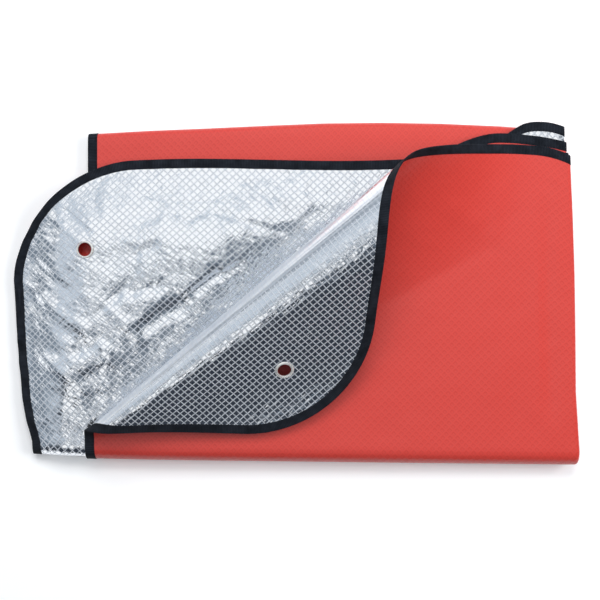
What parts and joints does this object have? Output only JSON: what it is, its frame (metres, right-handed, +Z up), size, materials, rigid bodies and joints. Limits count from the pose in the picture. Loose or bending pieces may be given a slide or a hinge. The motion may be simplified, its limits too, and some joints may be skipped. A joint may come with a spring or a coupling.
{
  "type": "emergency foil blanket",
  "caption": "Heavy-duty reflective survival blanket, bound all round with woven tape, folded flat with the corner of its top leaf peeled back.",
  "frame": {"origin": "on the surface that the folded blanket lies on, under the middle of its outline", "axes": "+X along the folded length towards the right-hand folds, +Y from the front fold towards the back fold, +Z up"},
  "size_m": [0.5964, 0.3632, 0.1253],
  "materials": {
    "laminate": "red polyethylene film on the outside, aluminised film over a diagonal scrim on the inside, satin",
    "binding": "black woven polyester tape, matt",
    "eyelet": "bright nickel-plated rolled ring"
  },
  "bodies": {
    "root": {"foil_sheet": "laminate", "edge_binding": "binding", "eyelet_peeled_corner": "eyelet", "eyelet_open_leaf": "eyelet", "eyelet_inner_left": "eyelet", "eyelet_inner_right": "eyelet"}
  },
  "joints": []
}
